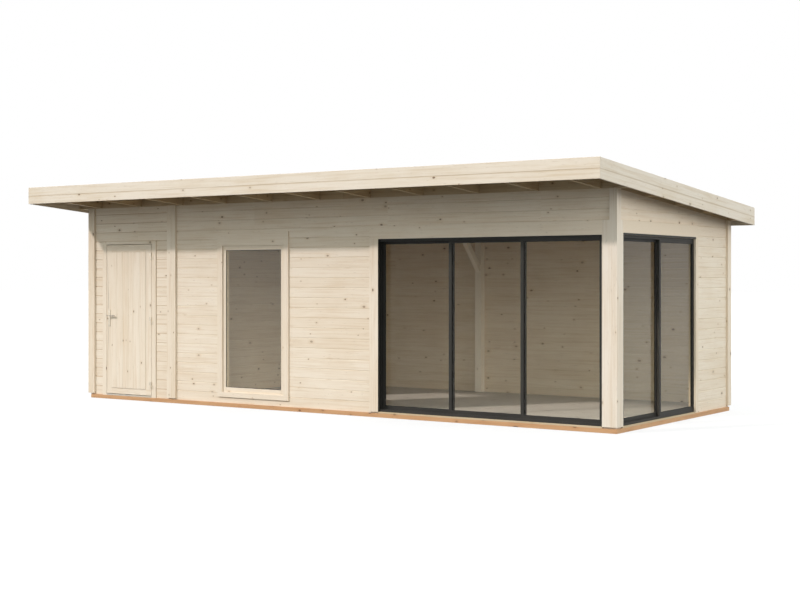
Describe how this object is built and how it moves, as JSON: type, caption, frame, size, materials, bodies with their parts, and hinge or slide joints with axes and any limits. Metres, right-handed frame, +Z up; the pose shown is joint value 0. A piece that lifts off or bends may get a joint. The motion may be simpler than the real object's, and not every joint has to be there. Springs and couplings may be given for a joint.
{
  "type": "garden shed",
  "caption": "Single-pitch log-walled garden shed with a hinged store door, a tall fixed window and sliding glazed doors round one front corner.",
  "frame": {"origin": "centre of the roof's outline, on the ground", "axes": "+X to the right along the front, +Y to the back, +Z up"},
  "size_m": [7.837, 3.964, 2.6447],
  "materials": {
    "spruce": "planed, untreated",
    "treated_timber": "brown treated",
    "roofing_felt": "mineral felt",
    "sill_metal": "mill",
    "steel": "satin",
    "dark_aluminium": "matt powder coat",
    "glass": "tinted, clear"
  },
  "bodies": {
    "house": {"long_bearers": "treated_timber", "cross_bearers": "treated_timber", "floor": "spruce", "front_wall_lower": "spruce", "front_wall_sill_course": "spruce", "front_wall_upper": "spruce", "right_wall": "spruce", "right_wall_upper": "spruce", "left_wall": "spruce", "back_wall": "spruce", "partition_wall": "spruce", "cover_boards": "spruce", "gable_cover_boards": "spruce", "corner_post": "spruce", "jamb_posts": "spruce", "glazing_lintels": "spruce", "slider_sills": "spruce", "frame_post": "spruce", "frame_brace": "spruce", "rafters": "spruce", "gable_noggings": "spruce", "rafter_blocking": "spruce", "roof_deck": "spruce", "front_fascia": "spruce", "back_fascia": "spruce", "side_fascias": "spruce", "store_door_frame": "spruce", "window_frame": "spruce", "window_casing": "spruce", "roof_felt": "roofing_felt", "store_door_threshold": "sill_metal", "store_door_hinge_pins": "steel", "front_slider_frame": "dark_aluminium", "side_slider_frame": "dark_aluminium", "fixed_sashes": "dark_aluminium", "fixed_glass": "glass"},
    "store_door": {"store_door_leaf": "spruce", "store_door_fittings": "steel"},
    "door_lever": {"store_door_lever": "steel"},
    "front_middle_panel": {"front_middle_sash": "dark_aluminium", "front_middle_glass": "glass"},
    "front_right_panel": {"front_right_sash": "dark_aluminium", "front_right_glass": "glass"},
    "side_panel": {"side_sash": "dark_aluminium", "side_glass": "glass"}
  },
  "joints": [
    {"name": "store_door_hinge", "type": "hinge", "parent": "house", "child": "store_door", "pos_m": [-2.606, -1.185, 1], "axis": [0, 0, 1], "range_deg": [0, 110]},
    {"name": "door_lever_turn", "type": "hinge", "parent": "store_door", "child": "door_lever", "pos_m": [-3.3355, -1.177, 1.05], "axis": [0, 1, 0], "range_deg": [0, 40], "stiffness_Nm_per_rad": 1.5, "springref_deg": -28.65},
    {"name": "front_middle_slide", "type": "slide", "parent": "house", "child": "front_middle_panel", "axis": [-1, 0, 0], "range_m": [0, 0.894]},
    {"name": "front_right_slide", "type": "slide", "parent": "house", "child": "front_right_panel", "axis": [-1, 0, 0], "range_m": [0, 1.789]},
    {"name": "side_slide", "type": "slide", "parent": "house", "child": "side_panel", "axis": [0, -1, 0], "range_m": [0, 0.865]}
  ]
}
